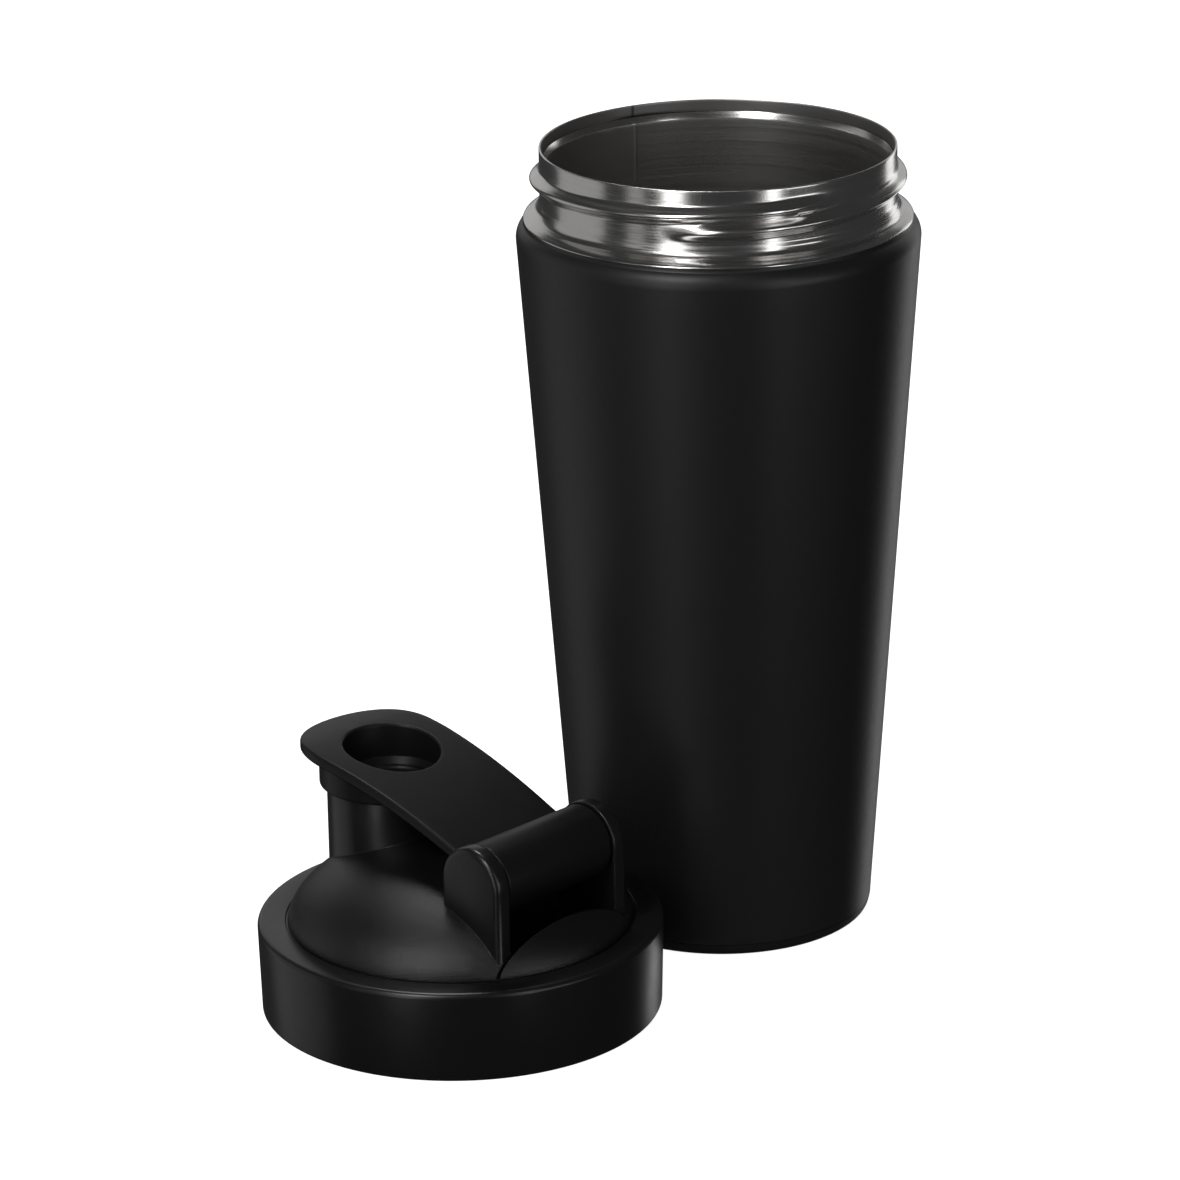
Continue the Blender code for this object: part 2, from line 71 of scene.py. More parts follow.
# Lid
LID_AT, LID_YAW = Vector((-59.5, -54.1, 0)) * MM, math.radians(-44)
RING_FOOT_R, RING_R, RING_Z, RING_ROUND = 44.4 * MM, 44.9 * MM, 20.5 * MM, 1.2 * MM
DOME_R, DOME_RISE, DOME_POWER = 38.2 * MM, 18.0 * MM, 1.25
LID_WALL, FOOT_GROOVE = 2.2 * MM, 0.5 * MM
SKIRT_R, SEAT_Z = 42.4 * MM, 17.6 * MM
LID_THREAD_HEIGHT, LID_THREAD_Z = 1.2 * MM, 3.4 * MM
GASKET_R_IN, GASKET_R_OUT, GASKET_THICK = 37.4 * MM, 41.9 * MM, 1.7 * MM
SPOUT_AT, SPOUT_R, BORE_R, SPOUT_TOP_Z = -20.5 * MM, 14.6 * MM, 12.4 * MM, 48.2 * MM
HINGE_AT, HINGE_Z = 23.2 * MM, 39.4 * MM
BARREL_R, BARREL_HALF, EAR_GAP, EAR_THICK = 8.2 * MM, 15.9 * MM, 0.4 * MM, 3.8 * MM
EAR_R, EAR_ROUND, EAR_INNER_ROUND = 8.6 * MM, 1.4 * MM, 0.35 * MM
BOSS_R, BOSS_LENGTH = 2.4 * MM, 2.6 * MM
POCKET_U = (14.2 * MM, 32.3 * MM)

# Flip cap
STRAP_HALF, STRAP_THICK, STRAP_END_AT = 17.0 * MM, 2.6 * MM, -25.2 * MM
STRAP_TIP_Z, STRAP_CROWN_AT, STRAP_CROWN_Z = 55.4 * MM, -33.0 * MM, 56.2 * MM
STRAP_FALL, STRAP_FALL_AT, STRAP_FALL_POWER = 11.3 * MM, 13.0 * MM, 5 / 3
STRAP_EDGE = 0.7 * MM
COLLAR_R, COLLAR_FOOT_Z, RECESS_R = 16.2 * MM, 46.9 * MM, 10.8 * MM
PLUG_R, PLUG_FOOT_R, PLUG_FOOT_Z, PLUG_WALL = 11.95 * MM, 10.8 * MM, 44.4 * MM, 1.2 * MM
ON_STRAP = 1.0  # added to a height that is measured from the strap's top and follows it

# Looks
BLACK = (0.008, 0.008, 0.0085)
LINER_GREY = (0.42, 0.41, 0.405)
LIT_AT = (-0.015, -0.02, 0.09)
CAMERA_AT, CAMERA_LENS, CAMERA_SENSOR = (-0.02975, -1.1721, 0.4941), 167.28, 36.0
CAMERA_TILT, CAMERA_ROLL = math.radians(70.39), -0.0159


# ---------------------------------------------------------------- meshes


def new_object(name, points, faces):
    mesh = bpy.data.meshes.new(name)
    mesh.from_pydata(points, [], faces)
    made = bpy.data.objects.new(name, mesh)
    bpy.context.scene.collection.objects.link(made)
    return made


def turned(name, profile, closed=True, segments=256, move=None):
    """A profile of (radius, z) turned about Z. move(r, z, angle) may return another (r, z) for a point."""
    angles = [TAU * i / segments for i in range(segments)]
    points, rings = [], []
    for r, z in profile:
        if r < 1e-7:
            rings.append([len(points)] * segments)
            points.append((0, 0, move(r, z, 0)[1] if move else z))
            continue
        rings.append([len(points) + i for i in range(segments)])
        for a in angles:
            rr, zz = move(r, z, a) if move else (r, z)
            points.append((rr * math.cos(a), rr * math.sin(a), zz))
    faces = []
    for low, high in zip(rings, rings[1:] + rings[:1] if closed else rings[1:]):
        for i in range(segments):
            j = (i + 1) % segments
            face = list(dict.fromkeys((low[i], low[j], high[j], high[i])))
            if len(face) > 2:
                faces.append(face)
    area = sum(a[0] * b[1] - b[0] * a[1] for a, b in zip(profile, profile[1:] + profile[:1]))
    if area < 0:
        faces = [face[::-1] for face in faces]
    return new_object(name, points, faces)


def arc(centre, radius, start, end, steps):
    angles = [math.radians(start + (end - start) * i / steps) for i in range(steps + 1)]
    return [(centre[0] + radius * math.cos(a), centre[1] + radius * math.sin(a)) for a in angles]


def rounded(corners, steps=5):
    """A closed profile from (r, z, fillet radius) corners, each one rounded off."""
    points = []
    for i, (r, z, fillet) in enumerate(corners):
        here = Vector((r, z))
        before = Vector(corners[i - 1][:2]) - here
        after = Vector(corners[(i + 1) % len(corners)][:2]) - here
        if not fillet:
            points.append((r, z))
            continue
        half = before.angle(after) / 2
        reach = fillet / math.tan(half)
        start, end = here + before.normalized() * reach, here + after.normalized() * reach
        middle = here + (before.normalized() + after.normalized()).normalized() * fillet / math.sin(half)
        a, b = start - middle, end - middle
        for j in range(steps + 1):
            spoke = (a.lerp(b, j / steps)).normalized() * fillet
            points.append(tuple(middle + spoke))
    return points


def spread(values, most):
    """The same points of a profile, with more put in between wherever two are further apart than most."""
    points = []
    for (r, z), (r2, z2) in zip(values, values[1:]):
        count = max(1, math.ceil(math.hypot(r2 - r, z2 - z) / most))
        points += [(r + (r2 - r) * i / count, z + (z2 - z) * i / count) for i in range(count)]
    return points + [values[-1]]


def offset_inwards(profile, thickness):
    """The other side of a sheet of this thickness whose outer side is the profile."""
    moved = []
    for i, (r, z) in enumerate(profile):
        before, after = profile[max(i - 1, 0)], profile[min(i + 1, len(profile) - 1)]
        along = Vector((after[0] - before[0], after[1] - before[1])).normalized()
        moved.append((r - thickness * along.y, z + thickness * along.x))
    return moved


def box(name, low, high):
    corners = [(x, y, z) for z in (low[2], high[2]) for y in (low[1], high[1]) for x in (low[0], high[0])]
    faces = [(0, 2, 3, 1), (4, 5, 7, 6), (0, 1, 5, 4), (2, 6, 7, 3), (0, 4, 6, 2), (1, 3, 7, 5)]
    return new_object(name, corners, faces)


def joined(target, others):
    """Runs each (object, operation) on the target as an exact Boolean, and removes the other objects."""
    for other, operation in others:
        made = target.modifiers.new(operation, "BOOLEAN")
        made.operation, made.solver, made.object = operation, "EXACT", other
    mesh = evaluated_mesh(target)
    target.modifiers.clear()
    target.data = mesh
    for other, _ in others:
        bpy.data.objects.remove(other)
    return target


def evaluated_mesh(piece):
    graph = bpy.context.evaluated_depsgraph_get()
    return bpy.data.meshes.new_from_object(piece.evaluated_get(graph))


def smooth(piece, angle):
    piece.data.shade_smooth()
    piece.data.set_sharp_from_angle(angle=math.radians(angle))
    return piece


def about_hinge(piece):
    """Turns a piece made about Z so that its axis lies along the hinge."""
    turn = Matrix.Translation((HINGE_AT, 0, HINGE_Z)) @ Matrix.Rotation(math.radians(-90), 4, "X")
    piece.data.transform(turn)
    return piece


def shifted(piece, x):
    piece.data.transform(Matrix.Translation((x, 0, 0)))
    return piece


def placed(piece, body, node, finishes, in_lid=False):
    """Finishes a piece: puts it in place, gives it its materials, and says what it stands for."""
    if in_lid:
        piece.data.transform(Matrix.Translation(LID_AT) @ Matrix.Rotation(LID_YAW, 4, "Z"))
    piece.data.materials.clear()
    for finish in finishes:
        piece.data.materials.append(finish)
    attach(piece, body)
    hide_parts(node)
    return piece


# ---------------------------------------------------------------- bottle


def smooth_step(x):
    """From 0 to 1 with no corner at either end."""
    x = min(max(x, 0), 1)
    return x * x * (3 - 2 * x)


def thread_bead(z, angle, first_z):
    """Height from 0 to 1 of the two-start thread's ridge at a point on a cylinder."""
    height = 0.0
    for start in range(THREAD_STARTS):
        along = (angle - THREAD_FIRST - start * TAU / THREAD_STARTS) % TAU
        away = (z - first_z - THREAD_LEAD * along / TAU) / THREAD_HALF
        if along < THREAD_SPAN and abs(away) < 1:
            ends = smooth_step(along / THREAD_RUN_IN) * smooth_step((THREAD_SPAN - along) / THREAD_RUN_IN)
            height = max(height, ends * math.cos(away * math.pi / 2) ** 2)
    return height


def wall_r(z):
    return BASE_R + (SHOULDER_R - BASE_R) * z / SHOULDER_Z


def neck_move(r, z, angle):
    on_neck = z > NECK_FOOT_Z - 0.5 * MM
    return (r + (THREAD_HEIGHT * thread_bead(z, angle, THREAD_Z) if on_neck else 0), z)


def outer_shell(coat, steel, brushed):
    """The outer wall with its shoulder, flange and threaded neck, as one sheet."""
    foot = BASE_LIFT + BASE_FILLET
    shoulder = arc((SHOULDER_R - SHOULDER_ROUND, SHOULDER_Z), SHOULDER_ROUND, -4, 52, 16)
    outside = spread([(wall_r(foot), foot), shoulder[0]], 6 * MM) + shoulder[1:]
    outside += [(FLANGE_R, FLANGE_Z - 0.35 * MM), (FLANGE_R + 0.02 * MM, FLANGE_Z)]
    outside += [(FLANGE_R - 0.1 * MM, FLANGE_Z + 0.22 * MM), (FLANGE_R - 0.4 * MM, FLANGE_Z + 0.45 * MM)]
    hollow = (NECK_R + 0.3 * MM + NECK_HOLLOW, NECK_FOOT_Z)
    outside += arc(hollow, NECK_HOLLOW, 262, 182, 10)[1:]
    outside += spread([(NECK_R, NECK_FOOT_Z + 0.3 * MM), (NECK_R, RIM_Z - 0.25 * MM)], 0.3 * MM)
    rim = arc((NECK_R - SHEET / 2, RIM_Z - SHEET / 2), SHEET / 2, 0, 180, 6)[1:-1]
    inside = offset_inwards(outside, SHEET)[::-1]
    piece = turned("shaker_shell", outside + rim + inside, segments=360, move=neck_move)
    placed(piece, "bottle", "outer_shell", [coat, steel, brushed])
    for face in piece.data.polygons:
        away = face.center.to_2d().normalized()
        inner = face.normal.to_2d().dot(away) < -0.3
        face.material_index = 2 if inner else int(face.center.z > FLANGE_Z - 0.1 * MM)
    return smooth(piece, 60)


def outer_base(coat):
    """The disc that closes the wall below, with a ring pressed into it."""
    foot, top = wall_r(0) - BASE_FILLET, BASE_LIFT + BASE_FILLET - 0.12 * MM
    side, sheet = wall_r(top), BASE_SHEET
    under = [(0, 0), (GROOVE_R - GROOVE_HALF, 0)]
    across = [i / 5 for i in range(-4, 6)]
    under += [(GROOVE_R + GROOVE_HALF * x, GROOVE_DEPTH * math.cos(x * math.pi / 2) ** 2) for x in across]
    under += arc((foot, BASE_FILLET), BASE_FILLET, 270, 352, 12) + [(side, top)]
    over = [(side - 1.2 * MM, top), (foot - 0.4 * MM, BASE_LIFT + sheet)]
    over += [(GROOVE_R + GROOVE_HALF, sheet + GROOVE_DEPTH), (GROOVE_R - GROOVE_HALF, sheet + GROOVE_DEPTH)]
    over += [(GROOVE_R - 2 * GROOVE_HALF, sheet), (0, sheet)]
    piece = turned("shaker_base", under + over, closed=False)
    return smooth(placed(piece, "bottle", "outer_base", [coat]), 50)


def liner_r(z):
    share = min(max((z - LINER_FOOT_Z) / (LINER_STRAIGHT_Z - LINER_FOOT_Z), 0), 1)
    return LINER_FOOT_R + (LINER_R - LINER_FOOT_R) * share


def seam_move(r, z, angle):
    """A low weld bead along the liner's seam, on its inner side."""
    away = abs((angle - SEAM_AT + math.pi) % TAU - math.pi) * LINER_R / SEAM_HALF
    inner = r < liner_r(z) - LINER_SHEET / 3
    return (r - (SEAM_HEIGHT * smooth_step(1 - away) if inner else 0), z)


def liner_tube(brushed, steel):
    """The inner wall, straight above and tapered below, with its top edge chamfered inwards."""
    rise = LINER_TOP_Z - 2 * MM - LINER_FOOT_Z
    rows = math.ceil(rise / (6 * MM))
    outside = [(liner_r(z), z) for z in (LINER_FOOT_Z + rise * i / rows for i in range(rows + 1))]
    inside = [(r - LINER_SHEET, z) for r, z in outside]
    ledge = (LINER_R - LINER_SHEET, LINER_TOP_Z - LINER_CHAMFER)
    inside += [(ledge[0], ledge[1] - 0.1 * MM), (ledge[0] + 0.05 * MM, ledge[1] + 0.05 * MM)]
    outside += [(LINER_R, LINER_TOP_Z - 0.08 * MM), (LINER_R - 0.05 * MM, LINER_TOP_Z)]
    piece = turned("liner", outside + inside[::-1], segments=720, move=seam_move)
    placed(piece, "bottle", "liner_tube", [brushed, steel])
    # The upward-facing chamfer faces take the brighter, smoother rolled steel: partly a smoother finish,
    # partly a painted highlight where the overhead light falls on the ledge.
    for face in piece.data.polygons:
        face.material_index = int(face.normal.z > 0.3)
    return smooth(piece, 25)


def liner_base(steel):
    """The inner wall's floor, a dish inside the tube's foot."""
    corner, thick, low = FLOOR_CORNER, FLOOR_SHEET, FLOOR_Z
    rim_r = liner_r(LINER_FOOT_Z) - LINER_SHEET - CLEARANCE + 0.05 * MM
    top = low + corner + 1.5 * MM
    outer = [(0, low)] + arc((rim_r - corner, low + corner), corner, 270, 360, 14) + [(rim_r, top - 0.1 * MM)]
    inner = [(rim_r - thick / 2, top), (rim_r - thick, top - 0.1 * MM)]
    inner += arc((rim_r - corner, low + corner), corner - thick, 360, 270, 14) + [(0, low + thick)]
    piece = turned("liner_floor", outer + inner, closed=False)
    return smooth(placed(piece, "bottle", "liner_base", [steel]), 50)


def mixing_ball(steel):
    """One wire wound from pole to pole of a sphere, just clear of the liner's floor."""
    curve = bpy.data.curves.new("ball_wire", "CURVE")
    curve.dimensions, curve.bevel_depth, curve.bevel_resolution = "3D", WIRE_R, 5
    curve.use_fill_caps = True
    spline = curve.splines.new("POLY")
    count = BALL_TURNS * 72
    spline.points.add(count)
    radius, centre = BALL_R - WIRE_R, FLOOR_Z + FLOOR_SHEET + CLEARANCE + BALL_R
    for i, point in enumerate(spline.points):
        share = i / count
        tilt, turn = math.radians(BALL_POLE + share * (180 - 2 * BALL_POLE)), share * BALL_TURNS * TAU
        flat = radius * math.sin(tilt)
        point.co = (flat * math.cos(turn), flat * math.sin(turn), centre - radius * math.cos(tilt), 1)
    wire = bpy.data.objects.new("wire", curve)
    bpy.context.scene.collection.objects.link(wire)
    piece = bpy.data.objects.new("wire_ball", evaluated_mesh(wire))
    bpy.data.objects.remove(wire)
    bpy.context.scene.collection.objects.link(piece)
    return smooth(placed(piece, "ball", "mixing_ball", [steel]), 50)


# ---------------------------------------------------------------- lid


def dome_arc(radius, rise, steps):
    angles = [math.radians(90 * i / steps) for i in range(steps + 1)]
    points = [(radius * math.cos(a), RING_Z + rise * math.sin(a) ** DOME_POWER) for a in angles[:-1]]
    return points + [(0, RING_Z + rise)]


def lid_outside():
    """The lid's outer side: foot, ring, the groove at the dome's foot, and the dome."""
    lip = 0.15 * MM
    groove, floor = DOME_R + FOOT_GROOVE, RING_Z - FOOT_GROOVE
    points = [(0, 0), (RING_FOOT_R - 0.5 * MM, 0)]
    points += arc((RING_FOOT_R - 0.5 * MM, 0.5 * MM), 0.5 * MM, 270, 360, 5)[1:]
    points += arc((RING_R - RING_ROUND, RING_Z - RING_ROUND), RING_ROUND, 0, 90, 12)
    points += arc((groove + lip, RING_Z - lip), lip, 90, 180, 3)
    points += [(groove, floor + 0.1 * MM), (groove - 0.1 * MM, floor), (DOME_R, floor)]
    return points + dome_arc(DOME_R, DOME_RISE, 36)


def skirt_move(r, z, angle):
    on_skirt = r > SKIRT_R - 0.1 * MM and z > 0.5 * MM
    return (r - (LID_THREAD_HEIGHT * thread_bead(z, angle, LID_THREAD_Z) if on_skirt else 0), z)


def lid_cavity():
    """What is hollow under the lid: the threaded skirt, the gasket's seat and the space under the dome."""
    points = [(0, -1 * MM), (SKIRT_R + 0.3 * MM, -1 * MM), (SKIRT_R + 0.3 * MM, 0), (SKIRT_R, 0.3 * MM)]
    points += spread([(SKIRT_R, 0.8 * MM), (SKIRT_R, SEAT_Z - 0.3 * MM)], 0.5 * MM)
    points += [(SKIRT_R - 0.3 * MM, SEAT_Z), (DOME_R - LID_WALL, SEAT_Z)]
    points += dome_arc(DOME_R - LID_WALL, DOME_RISE - LID_WALL, 20)
    made = turned("cut_cavity", points, closed=False, segments=180, move=skirt_move)
    side = BARREL_HALF + EAR_THICK + LID_WALL
    low = (POCKET_U[0] - LID_WALL, -side, RING_Z - LID_WALL)
    keep = box("keep", low, (DOME_R + MM, side, RING_Z + DOME_RISE))
    return joined(made, [(keep, "DIFFERENCE")])


def ear_outline():
    """The ear's side view about the hinge axis: a half circle on straight sides."""
    foot = RING_Z - HINGE_Z - 0.2 * MM
    return [(EAR_R, foot)] + arc((0, 0), EAR_R, 0, 180, 48) + [(-EAR_R, foot)]


def ear(name, side):
    """One hinge ear, well rounded along its outer face and a little along its inner one."""
    shape = bmesh.new()
    inner, outer = side * (BARREL_HALF + EAR_GAP), side * (BARREL_HALF + EAR_GAP + EAR_THICK)
    face = shape.faces.new([shape.verts.new((HINGE_AT + u, inner, HINGE_Z + z)) for u, z in ear_outline()])
    swept = bmesh.ops.extrude_face_region(shape, geom=[face])["geom"]
    moved = [item for item in swept if isinstance(item, bmesh.types.BMVert)]
    bmesh.ops.translate(shape, vec=(0, outer - inner, 0), verts=moved)
    for at, size in ((outer, EAR_ROUND), (inner, EAR_INNER_ROUND)):
        rim = [
            edge for edge in shape.edges
            if all(abs(v.co.y - at) < 0.01 * MM for v in edge.verts)
            and any(v.co.z > RING_Z + 0.1 * MM for v in edge.verts)
        ]
        bmesh.ops.bevel(shape, geom=rim, offset=size, segments=6, profile=0.5, affect="EDGES")
    bmesh.ops.recalc_face_normals(shape, faces=shape.faces)
    made = new_object(name, [], [])
    shape.to_mesh(made.data)
    shape.free()
    return made


def boss(side):
    """The stub that an ear holds in the barrel's end."""
    length = BOSS_LENGTH + MM
    corners = [(0, 0, 0), (BOSS_R, 0, 0), (BOSS_R, length, 0.4 * MM), (0, length, 0)]
    made = turned("boss", rounded(corners), closed=False, segments=48)
    away = side * (BARREL_HALF + EAR_GAP + MM)
    made.data.transform(Matrix.Rotation(math.radians(90 * side), 4, "X"))
    made.data.transform(Matrix.Translation((HINGE_AT, away, HINGE_Z)))
    return made


def lid_body(satin, textured):
    """Ring, dome, spout, ears and bosses in one piece. The dome's own faces are the textured ones."""
    made = turned("lid", lid_outside(), closed=False, segments=256)
    half = BARREL_HALF + EAR_GAP
    roof = RING_Z + DOME_RISE + MM
    wide = box("wide", (HINGE_AT + EAR_R, -DOME_R, RING_Z), (POCKET_U[1], DOME_R, roof))
    deep = box("deep", (POCKET_U[0], -half, RING_Z), (POCKET_U[1], half, roof))
    spout = [(0, RING_Z + 3 * MM, 0), (SPOUT_R, RING_Z + 3 * MM, 0), (SPOUT_R, SPOUT_TOP_Z, 0.6 * MM)]
    spout = turned("spout", rounded(spout + [(0, SPOUT_TOP_Z, 0)]), closed=False, segments=128)
    flare = 0.5 * MM
    bore = [(0, RING_Z), (BORE_R, RING_Z)]
    bore += arc((BORE_R + flare, SPOUT_TOP_Z - flare), flare, 180, 90, 5)
    bore += [(BORE_R + flare, SPOUT_TOP_Z + MM), (0, SPOUT_TOP_Z + MM)]
    bore = turned("bore", bore, closed=False, segments=128)
    steps = [(deep, "DIFFERENCE"), (wide, "DIFFERENCE")]
    steps += [(ear(f"ear{side}", side), "UNION") for side in (-1, 1)]
    steps += [(boss(side), "UNION") for side in (-1, 1)]
    steps += [(shifted(spout, SPOUT_AT), "UNION"), (lid_cavity(), "DIFFERENCE")]
    joined(made, steps + [(shifted(bore, SPOUT_AT), "DIFFERENCE")])
    on_dome = []
    for face in made.data.polygons:
        r, z = math.hypot(face.center.x, face.center.y), face.center.z
        high = max((z - RING_Z) / DOME_RISE, 0) ** (2 / DOME_POWER) + (r / DOME_R) ** 2
        on_dome.append(int(z > RING_Z + 0.02 * MM and 0.985 < high < 1.01))
    placed(made, "lid", "lid_body", [satin, textured], in_lid=True)
    for face, index in zip(made.data.polygons, on_dome):
        face.material_index = index
    return smooth(made, 32)


def lid_gasket(silicone):
    top = SEAT_Z - CLEARANCE
    low = top - GASKET_THICK
    corners = [(GASKET_R_IN, low, 0.6 * MM), (GASKET_R_OUT, low, 0.6 * MM)]
    corners += [(GASKET_R_OUT, top, 0.15 * MM), (GASKET_R_IN, top, 0.15 * MM)]
    piece = turned("gasket", rounded(corners))
    return smooth(placed(piece, "seal", "lid_gasket", [silicone], in_lid=True), 50)


def strap_top(u):
    """Height of the strap's top along the lid: nearly level over the spout, falling to the hinge."""
    past = max(u - STRAP_CROWN_AT, 0) / (STRAP_FALL_AT - STRAP_CROWN_AT)
    before = max(STRAP_CROWN_AT - u, 0) / (STRAP_CROWN_AT - STRAP_END_AT + STRAP_HALF)
    droop = (STRAP_CROWN_Z - STRAP_TIP_Z) * before**2
    return STRAP_CROWN_Z - STRAP_FALL * past**STRAP_FALL_POWER - droop


def strap_taper(u):
    """How much narrower than over the spout the strap is on each side, so that it fits between the ears."""
    share = min(max((u - SPOUT_AT) / (STRAP_FALL_AT - SPOUT_AT), 0), 1)
    return (STRAP_HALF - BARREL_HALF) * share


def strap_side(u, side):
    """The line from the strap's edge in to its middle at this place along it, as a function of the inset."""
    return lambda inset: (u, side * (STRAP_HALF - inset) * (1 - strap_taper(u) / STRAP_HALF))


def strap_end(turn):
    """The same for the round end over the spout, in this direction from the end's centre."""
    x, y = math.cos(turn), math.sin(turn)
    return lambda inset: (STRAP_END_AT + (STRAP_HALF - inset) * x, (STRAP_HALF - inset) * y)


def strap():
    """The arched strip as columns from its outline in to its middle line, with rounded edges."""
    columns_along, steps_in = 60, 12
    last = HINGE_AT - BARREL_R + 3 * MM
    run = [STRAP_END_AT + (last - STRAP_END_AT) * i / columns_along for i in range(columns_along + 1)]
    turns = [math.radians(90 + 180 * i / columns_along) for i in range(1, columns_along)]
    columns = [strap_side(u, 1) for u in run[::-1]]
    columns += [strap_end(turn) for turn in turns] + [strap_side(u, -1) for u in run]
    bend = [math.radians(90 * i / 6) for i in range(7)]
    edge = [(STRAP_EDGE * (1 - math.cos(a)), STRAP_EDGE * (1 - math.sin(a))) for a in bend]
    flat = STRAP_HALF - STRAP_EDGE
    inner = [(STRAP_EDGE + flat * i / steps_in, 0) for i in range(1, steps_in + 1)]
    top = (edge + inner)[::-1]
    rows = [(inset, -drop) for inset, drop in top]
    rows += [(inset, drop - STRAP_THICK) for inset, drop in top[::-1]]
    points = []
    for place in columns:
        for inset, z in rows:
            x, y = place(inset)
            points.append((x, y, strap_top(x) + z))
    count, faces = len(rows), []
    for i in range(len(columns) - 1):
        for j in range(count - 1):
            a = i * count + j
            faces.append((a, a + 1, a + count + 1, a + count))
    made = new_object("strap", points, faces)
    shape = bmesh.new()
    shape.from_mesh(made.data)
    bmesh.ops.remove_doubles(shape, verts=shape.verts, dist=0.002 * MM)
    bmesh.ops.holes_fill(shape, edges=shape.edges)
    bmesh.ops.recalc_face_normals(shape, faces=shape.faces)
    shape.to_mesh(made.data)
    shape.free()
    return made


def under_strap(r, z, angle):
    """Lets the points whose height was given from ON_STRAP follow the strap's top."""
    u = SPOUT_AT + r * math.cos(angle)
    return (r, strap_top(u) + z - ON_STRAP) if z > ON_STRAP / 2 else (r, z)


def cap_barrel():
    """The cylinder that turns between the ears."""
    corners = [(0, -BARREL_HALF, 0), (BARREL_R, -BARREL_HALF, 0.5 * MM), (BARREL_R, BARREL_HALF, 0.5 * MM)]
    outline = rounded(corners + [(0, BARREL_HALF, 0)])
    return about_hinge(turned("flip_lid", outline, closed=False, segments=128))


def collar():
    """The skirt round the spout's outside, up into the strap."""
    inner, lip = SPOUT_R + 0.5 * MM, 0.5 * MM
    top = ON_STRAP - 0.5 * STRAP_THICK
    outline = [(inner, top), (inner, COLLAR_FOOT_Z)]
    outline += arc((COLLAR_R - lip, COLLAR_FOOT_Z + lip), lip, 270, 360, 5) + [(COLLAR_R, top)]
    return shifted(turned("collar", outline, segments=128, move=under_strap), SPOUT_AT)


def plug():
    """The stopper in the spout's bore, up into the strap."""
    top = ON_STRAP - 0.5 * STRAP_THICK
    outline = [(0, PLUG_FOOT_Z)] + arc((PLUG_FOOT_R - MM, PLUG_FOOT_Z + MM), MM, 270, 360, 6)
    outline += [(PLUG_R, SPOUT_TOP_Z - 0.5 * MM), (PLUG_R, top), (0, top)]
    return shifted(turned("plug", outline, closed=False, segments=128, move=under_strap), SPOUT_AT)


def recess():
    """The hollow in the plug, open at the strap's top with a rounded lip."""
    floor, corner, lip = PLUG_FOOT_Z + PLUG_WALL, 1.2 * MM, 0.6 * MM
    outline = [(0, floor)] + arc((PLUG_FOOT_R - PLUG_WALL - corner, floor + corner), corner, 270, 360, 6)
    outline += [(RECESS_R, SPOUT_TOP_Z)] + arc((RECESS_R + lip, ON_STRAP - lip), lip, 180, 90, 6)
    outline += [(RECESS_R + lip, ON_STRAP + 3 * MM), (0, ON_STRAP + 3 * MM)]
    return shifted(turned("recess", outline, closed=False, segments=128, move=under_strap), SPOUT_AT)


def socket(low, high):
    """A hole for a boss in the barrel's end, between these places along the hinge."""
    radius = BOSS_R + CLEARANCE
    outline = [(0, low), (radius, low), (radius, high), (0, high)]
    return about_hinge(turned("socket", outline, closed=False, segments=48))


def flip_cap(matte):
    """The cap in one piece: barrel, strap, collar and hollow plug."""
    made = cap_barrel()
    depth = BOSS_LENGTH + 2 * CLEARANCE
    steps = [(strap(), "UNION"), (collar(), "UNION"), (plug(), "UNION"), (recess(), "DIFFERENCE")]
    steps.append((socket(-BARREL_HALF - MM, depth - BARREL_HALF), "DIFFERENCE"))
    steps.append((socket(BARREL_HALF - depth, BARREL_HALF + MM), "DIFFERENCE"))
    joined(made, steps)
    return smooth(placed(made, "cap", "flip_cap", [matte], in_lid=True), 32)


# ---------------------------------------------------------------- materials


class Finish:
    """A Principled material that is built up node by node."""

    def __init__(self, name, colour, roughness, **values):
        self.material = bpy.data.materials.new(name)
        self.material.use_nodes = True
        self.nodes, self.links = self.material.node_tree.nodes, self.material.node_tree.links
        self.shader = self.nodes["Principled BSDF"]
        self.shader.inputs["Base Color"].default_value = (*colour, 1)
        self.shader.inputs["Roughness"].default_value = roughness
        for key, value in values.items():
            self.shader.inputs[key.replace("_", " ")].default_value = value
        self.place = self.nodes.new("ShaderNodeTexCoord").outputs["Object"]
        self.normal = None

    def node(self, kind, inputs=(), **settings):
        made = self.nodes.new("ShaderNode" + kind)
        for key, value in settings.items():
            setattr(made, key, value)
        for key, value in dict(inputs).items():
            if isinstance(value, bpy.types.NodeSocket):
                self.links.new(value, made.inputs[key])
            else:
                made.inputs[key].default_value = value
        return made

    def stretched(self, scale):
        return self.node("Mapping", {"Vector": self.place, "Scale": scale}).outputs["Vector"]

    def noise(self, scale, detail, rough=0.5, place=None):
        inputs = {"Vector": place or self.place, "Scale": scale, "Detail": detail, "Roughness": rough}
        return self.node("TexNoise", inputs).outputs["Fac"]

    def ranged(self, value, low, high, start=0.0, end=1.0):
        inputs = {"Value": value, "From Min": start, "From Max": end, "To Min": low, "To Max": high}
        return self.node("MapRange", inputs).outputs["Result"]

    def bump(self, height, strength, distance):
        inputs = {"Height": height, "Strength": strength, "Distance": distance}
        if self.normal:
            inputs["Normal"] = self.normal
        self.normal = self.node("Bump", inputs).outputs["Normal"]
        self.links.new(self.normal, self.shader.inputs["Normal"])

    def softened(self, radius):
        """Softens the shading across hard joins by this radius."""
        self.normal = self.node("Bevel", {"Radius": radius}, samples=4).outputs["Normal"]
        self.links.new(self.normal, self.shader.inputs["Normal"])

    def link(self, value, socket):
        self.links.new(value, self.shader.inputs[socket])

    def mixed(self, factor, first, second):
        made = self.node("Mix", data_type="RGBA")
        self.links.new(factor, made.inputs[0])
        made.inputs[6].default_value = (*first, 1)
        made.inputs[7].default_value = (*second, 1)
        return made.outputs[2]


